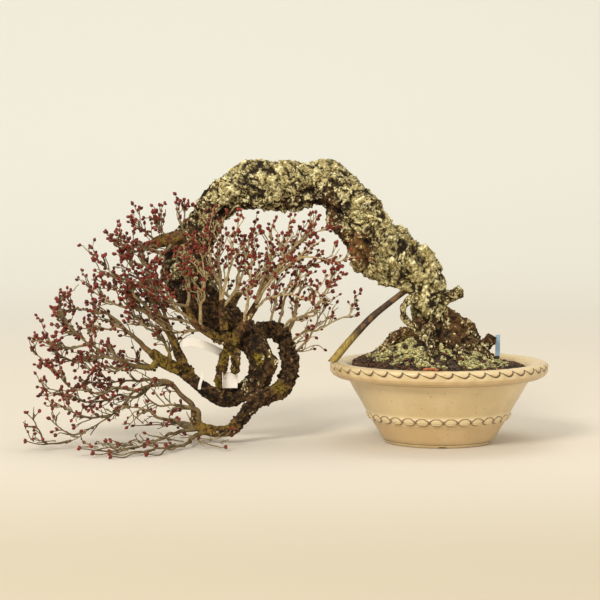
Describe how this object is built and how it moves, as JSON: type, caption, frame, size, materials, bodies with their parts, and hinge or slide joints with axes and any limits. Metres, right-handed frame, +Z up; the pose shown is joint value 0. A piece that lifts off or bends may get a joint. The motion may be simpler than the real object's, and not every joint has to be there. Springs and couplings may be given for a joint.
{
  "type": "japanese apricot bonsai",
  "caption": "Leafless cascade bonsai with a lichened arching trunk and budded twigs, in a round cream pot with a lobed rim.",
  "frame": {"origin": "middle of the pot's foot, on its underside", "axes": "+Z up, +X to the right, away from the side that the trunk cascades to, +Y to the back"},
  "size_m": [0.7804, 0.3541, 0.4266],
  "materials": {
    "cream_glaze": "satin cream glaze over stoneware",
    "screen_mesh": "matte",
    "granular_soil": "rough granules",
    "trunk_bark": "flaking bark with lichen",
    "twig_bark": "dry bark",
    "bud_scales": "satin bud scales",
    "prop_bark": "smooth bark",
    "moss": "soft cushion moss",
    "plain_paper": "matte coated paper",
    "pale_blue_strip": "matte"
  },
  "bodies": {
    "root": {"pot": "cream_glaze", "drain_screen_1": "screen_mesh", "drain_screen_2": "screen_mesh", "drain_screen_3": "screen_mesh", "soil": "granular_soil", "trunk": "trunk_bark", "spray_shoulder": "twig_bark", "spray_upper_left": "twig_bark", "spray_left": "twig_bark", "spray_hub_left": "twig_bark", "spray_hub_up": "twig_bark", "spray_hub_right": "twig_bark", "spray_low": "twig_bark", "spray_back_upper": "twig_bark", "spray_back_right": "twig_bark", "prop_stick": "prop_bark", "stem_label": "plain_paper", "stub_label": "plain_paper", "tie_strip": "plain_paper", "soil_label": "pale_blue_strip"}
  },
  "joints": []
}
